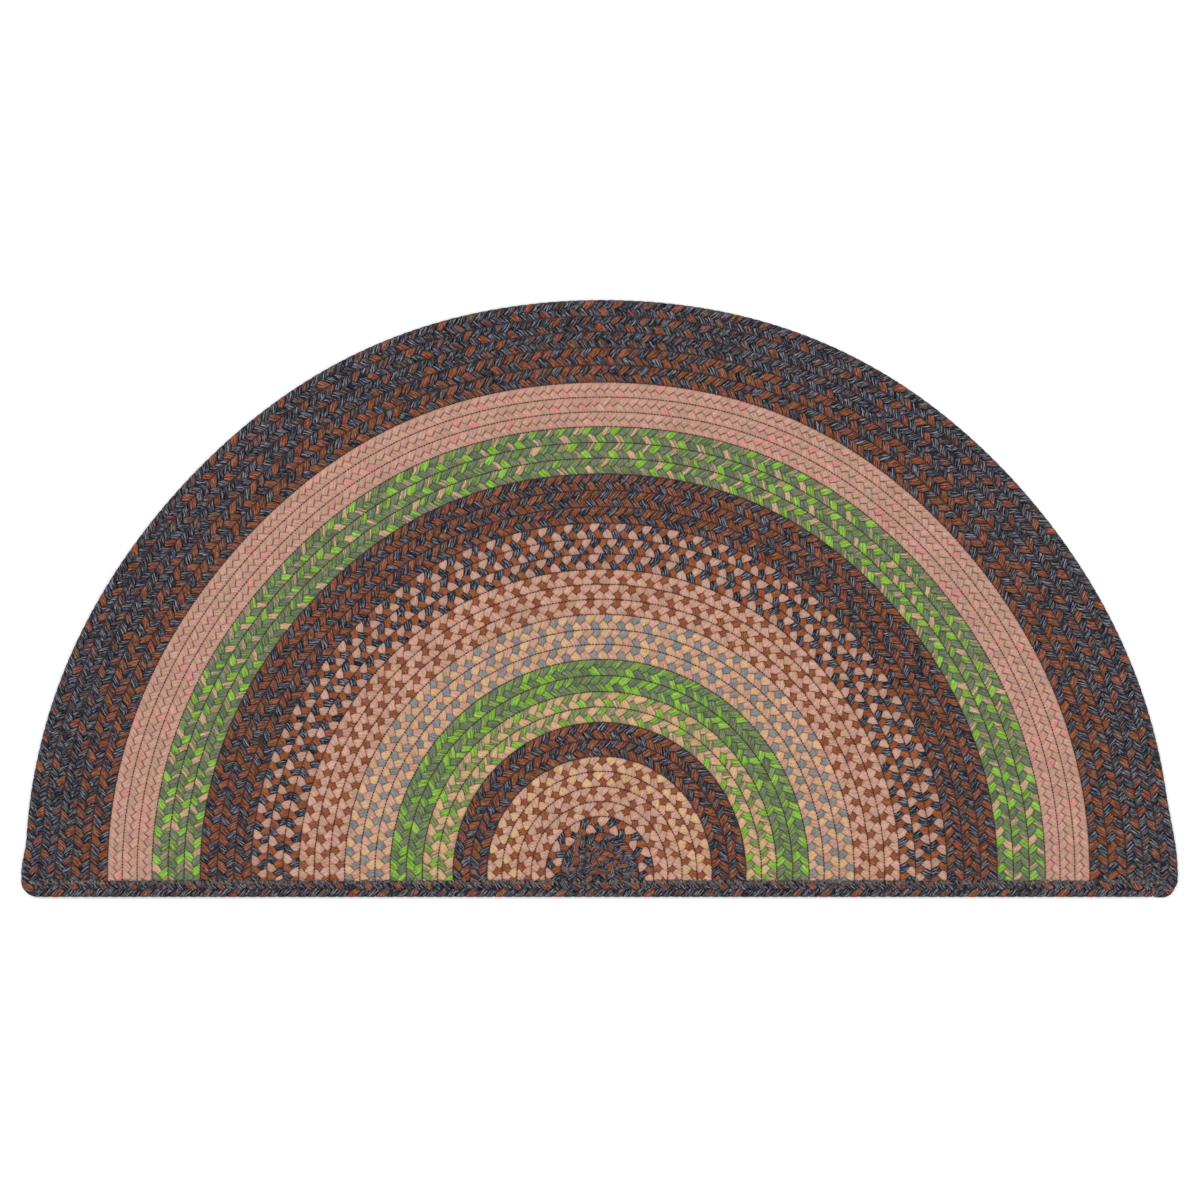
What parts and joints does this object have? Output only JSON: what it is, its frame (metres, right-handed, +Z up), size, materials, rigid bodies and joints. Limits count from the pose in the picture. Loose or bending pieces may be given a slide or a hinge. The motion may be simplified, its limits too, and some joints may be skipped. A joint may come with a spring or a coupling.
{
  "type": "braided rug",
  "caption": "Half-round rug of flat braid, its rows laced side by side in half rings and edged along the straight side; it lies flat on a floor.",
  "frame": {"origin": "middle of the outline's bounding box, on the underside", "axes": "+X along the straight edge, +Y from the straight edge to the crown of the arc, +Z up from the floor"},
  "size_m": [1.2196, 0.6305, 0.008],
  "materials": {
    "slate": "dull slate-blue yarn with navy and pale strands, and a rust strand",
    "rust_slate": "dull rust and slate yarn",
    "pink": "dull dusty pink yarn, with pinker flecks",
    "sage": "dull sage yarn with bright green and tan strands",
    "brown_pink": "dull slate, rust and pink yarn",
    "pink_rust": "dull pink and rust yarn",
    "grey_tan": "dull grey, tan and pink yarn",
    "green": "dull bright green and sage yarn",
    "tan_green": "dull tan and green yarn",
    "lacing_thread": "dull dark brown thread"
  },
  "bodies": {
    "root": {"braid_01_rim": "slate", "braid_02_slate_rust": "slate", "braid_03_slate_rust": "slate", "braid_04_rust_slate": "rust_slate", "braid_05_rust_slate": "rust_slate", "braid_06_pink": "pink", "braid_07_pink": "pink", "braid_08_pink": "pink", "braid_09_sage": "sage", "braid_10_sage": "sage", "braid_11_sage": "sage", "braid_12_rust_slate": "rust_slate", "braid_13_rust_slate": "rust_slate", "braid_14_rust_slate": "rust_slate", "braid_15_slate_rust_pink": "brown_pink", "braid_16_slate_rust_pink": "brown_pink", "braid_17_slate_rust_pink": "brown_pink", "braid_18_pink_rust": "pink_rust", "braid_19_pink_rust": "pink_rust", "braid_20_pink_rust": "pink_rust", "braid_21_grey_tan": "grey_tan", "braid_22_grey_tan": "grey_tan", "braid_23_grey_tan": "grey_tan", "braid_24_green": "green", "braid_25_green": "green", "braid_26_tan_green": "tan_green", "braid_27_tan_green": "tan_green", "braid_28_rust_slate": "rust_slate", "braid_29_rust_slate": "rust_slate", "braid_30_tan_rust": "pink_rust", "braid_31_tan_rust": "pink_rust", "braid_32_pink_rust": "pink_rust", "braid_33_pink_rust": "pink_rust", "braid_34_slate_rust_pink": "brown_pink", "braid_35_slate_core": "slate", "braid_36_slate_core": "slate", "braid_37_heart": "slate"}
  },
  "joints": []
}
